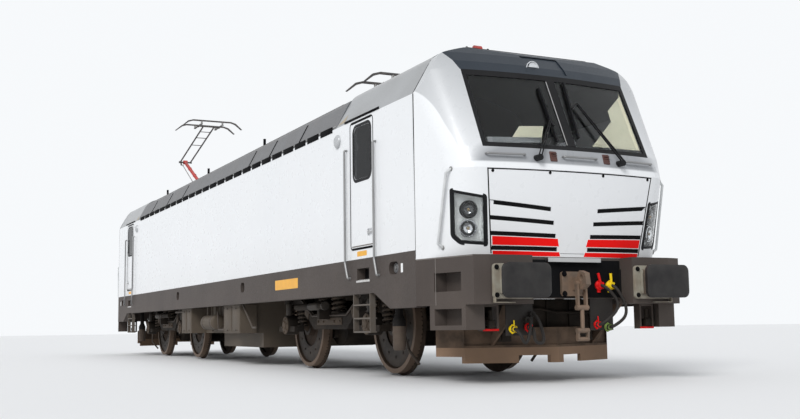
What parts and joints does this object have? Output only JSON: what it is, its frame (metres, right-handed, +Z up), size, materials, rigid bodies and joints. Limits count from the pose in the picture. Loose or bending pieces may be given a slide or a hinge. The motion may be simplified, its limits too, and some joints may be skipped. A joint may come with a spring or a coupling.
{
  "type": "four-axle electric locomotive",
  "caption": "Four-axle mainline electric locomotive with a cab at each end, bogies that turn, rolling wheelsets, hinged cab doors and folding pantographs on the roof.",
  "frame": {"origin": "under the middle of the locomotive, level with the lowest point of the wheel flanges", "axes": "+X towards the cab with the lowered pantograph beside it, +Y to its left side, +Z up"},
  "size_m": [18.98, 3.118, 5.4648],
  "materials": {
    "white_paint": "gloss white paint",
    "silver_paint": "silver grey paint",
    "sill_grey": "dark grey paint, road dust",
    "frame_grey": "dark grey paint with brake dust",
    "roof_grey": "dark grey satin paint",
    "black_trim": "black seal and trim",
    "pane_glass": "tinted laminated glass",
    "lamp_glass": "lamp housing with grey reflector",
    "wheel_steel": "worn rolled steel",
    "rail_steel": "bare metal grip",
    "hook_steel": "forged steel, light rust",
    "plough_brown": "dusty brown plate",
    "hose_rubber": "rubber hose with painted cocks",
    "arm_red": "red oxide paint",
    "arm_grey": "grey paint",
    "post_brown": "glazed insulator",
    "busbar_metal": "conductor and grey housings",
    "inner_grey": "light grey lining",
    "desk_grey": "dark grey moulding",
    "seat_cloth": "dark cloth",
    "box_grey": "grey equipment paint",
    "ladder_grey": "light grey paint"
  },
  "bodies": {
    "body": {"underframe": "frame_grey", "sills": "sill_grey", "headstocks": "sill_grey", "side_wall_left": "white_paint", "side_wall_right": "white_paint", "roof_hatch_middle": "roof_grey", "roof_hatches_end": "roof_grey", "cab_roofs": "silver_paint", "cab_shell_front": "white_paint", "cab_shell_rear": "white_paint", "cab_caps": "roof_grey", "windscreen_frames": "black_trim", "windscreens": "pane_glass", "nose_panels": "white_paint", "headlamps": "lamp_glass", "buffers": "black_trim", "couplers": "hook_steel", "brake_hoses": "hose_rubber", "ploughs": "plough_brown", "wipers": "black_trim", "bulkheads": "inner_grey", "driver_desks": "desk_grey", "driver_seats": "seat_cloth", "converter_block": "box_grey", "transformer": "box_grey", "equipment_boxes": "box_grey", "air_tanks": "box_grey", "roof_insulators": "post_brown", "roof_gear": "busbar_metal", "entry_ladders": "ladder_grey", "handrails": "rail_steel", "nose_steps": "rail_steel", "pantograph_bases": "arm_grey"},
    "bogie_front": {"bogie_frame_front": "frame_grey", "bogie_axleboxes_front": "frame_grey", "bogie_springs_front": "frame_grey", "bogie_dampers_front": "frame_grey", "bogie_motors_front": "frame_grey"},
    "wheelset_front_outer": {"wheelset_front_outer": "wheel_steel"},
    "wheelset_front_inner": {"wheelset_front_inner": "wheel_steel"},
    "bogie_rear": {"bogie_frame_rear": "frame_grey", "bogie_axleboxes_rear": "frame_grey", "bogie_springs_rear": "frame_grey", "bogie_dampers_rear": "frame_grey", "bogie_motors_rear": "frame_grey"},
    "wheelset_rear_outer": {"wheelset_rear_outer": "wheel_steel"},
    "wheelset_rear_inner": {"wheelset_rear_inner": "wheel_steel"},
    "door_front_right": {"door_front_right": "white_paint"},
    "door_front_left": {"door_front_left": "white_paint"},
    "door_rear_left": {"door_rear_left": "white_paint"},
    "door_rear_right": {"door_rear_right": "white_paint"},
    "pantograph_lower_arm_front": {"pantograph_lower_arm_front": "arm_red"},
    "pantograph_upper_arm_front": {"pantograph_upper_arm_front": "arm_grey"},
    "pantograph_head_front": {"pantograph_head_front": "arm_grey"},
    "pantograph_rod_front": {"pantograph_rod_front": "arm_grey"},
    "pantograph_lower_arm_rear": {"pantograph_lower_arm_rear": "arm_red"},
    "pantograph_upper_arm_rear": {"pantograph_upper_arm_rear": "arm_grey"},
    "pantograph_head_rear": {"pantograph_head_rear": "arm_grey"},
    "pantograph_rod_rear": {"pantograph_rod_rear": "arm_grey"}
  },
  "joints": [
    {"name": "bogie_front_yaw", "type": "hinge", "parent": "body", "child": "bogie_front", "pos_m": [4.75, 0, 0.688], "axis": [0, 0, 1], "range_deg": [-3.5, 3.5]},
    {"name": "wheelset_front_outer_spin", "type": "hinge", "parent": "bogie_front", "child": "wheelset_front_outer", "pos_m": [6.25, 0, 0.653], "axis": [0, 1, 0], "continuous": true},
    {"name": "wheelset_front_inner_spin", "type": "hinge", "parent": "bogie_front", "child": "wheelset_front_inner", "pos_m": [3.25, 0, 0.653], "axis": [0, 1, 0], "continuous": true},
    {"name": "bogie_rear_yaw", "type": "hinge", "parent": "body", "child": "bogie_rear", "pos_m": [-4.75, 0, 0.688], "axis": [0, 0, 1], "range_deg": [-3.5, 3.5]},
    {"name": "wheelset_rear_outer_spin", "type": "hinge", "parent": "bogie_rear", "child": "wheelset_rear_outer", "pos_m": [-6.25, 0, 0.653], "axis": [0, 1, 0], "continuous": true},
    {"name": "wheelset_rear_inner_spin", "type": "hinge", "parent": "bogie_rear", "child": "wheelset_rear_inner", "pos_m": [-3.25, 0, 0.653], "axis": [0, 1, 0], "continuous": true},
    {"name": "door_front_right_hinge", "type": "hinge", "parent": "body", "child": "door_front_right", "pos_m": [6.52, -1.428, 2.328], "axis": [0, 0, 1], "range_deg": [0, 90]},
    {"name": "door_front_left_hinge", "type": "hinge", "parent": "body", "child": "door_front_left", "pos_m": [6.52, 1.428, 2.328], "axis": [0, 0, -1], "range_deg": [0, 90]},
    {"name": "door_rear_left_hinge", "type": "hinge", "parent": "body", "child": "door_rear_left", "pos_m": [-6.52, 1.428, 2.328], "axis": [0, 0, 1], "range_deg": [0, 90]},
    {"name": "door_rear_right_hinge", "type": "hinge", "parent": "body", "child": "door_rear_right", "pos_m": [-6.52, -1.428, 2.328], "axis": [0, 0, -1], "range_deg": [0, 90]},
    {"name": "pantograph_front_raise", "type": "hinge", "parent": "body", "child": "pantograph_lower_arm_front", "pos_m": [5.2, 0, 3.998], "axis": [0, -1, 0], "range_deg": [0, 38]},
    {"name": "pantograph_front_knee", "type": "hinge", "parent": "pantograph_lower_arm_front", "child": "pantograph_upper_arm_front", "pos_m": [7.09819, 0, 4.08088], "axis": [0, -1, 0], "range_deg": [-60.8, 0]},
    {"name": "pantograph_front_head", "type": "hinge", "parent": "pantograph_upper_arm_front", "child": "pantograph_head_front", "pos_m": [4.84841, 0, 4.11229], "axis": [0, -1, 0], "range_deg": [0, 22.8]},
    {"name": "pantograph_front_rod", "type": "hinge", "parent": "body", "child": "pantograph_rod_front", "pos_m": [5.4, 0, 3.948], "axis": [0, -1, 0], "range_deg": [0, 44.9]},
    {"name": "pantograph_rear_raise", "type": "hinge", "parent": "body", "child": "pantograph_lower_arm_rear", "pos_m": [-5.95, 0, 3.998], "axis": [0, 1, 0], "range_deg": [-23, 15]},
    {"name": "pantograph_rear_knee", "type": "hinge", "parent": "pantograph_lower_arm_rear", "child": "pantograph_upper_arm_rear", "pos_m": [-7.65038, 0, 4.84578], "axis": [0, 1, 0], "range_deg": [-24, 36.9]},
    {"name": "pantograph_rear_head", "type": "hinge", "parent": "pantograph_upper_arm_rear", "child": "pantograph_head_rear", "pos_m": [-5.46346, 0, 5.37485], "axis": [0, 1, 0], "range_deg": [-13.8, 9]},
    {"name": "pantograph_rear_rod", "type": "hinge", "parent": "body", "child": "pantograph_rod_rear", "pos_m": [-6.15, 0, 3.948], "axis": [0, 1, 0], "range_deg": [-27.2, 17.7]}
  ],
  "couplings": [
    {"joint": "pantograph_front_knee", "follows": "pantograph_front_raise", "ratio": -1.6},
    {"joint": "pantograph_front_head", "follows": "pantograph_front_raise", "ratio": 0.6},
    {"joint": "pantograph_front_rod", "follows": "pantograph_front_raise", "ratio": 1.18},
    {"joint": "pantograph_rear_knee", "follows": "pantograph_rear_raise", "ratio": -1.6},
    {"joint": "pantograph_rear_head", "follows": "pantograph_rear_raise", "ratio": 0.6},
    {"joint": "pantograph_rear_rod", "follows": "pantograph_rear_raise", "ratio": 1.18}
  ]
}
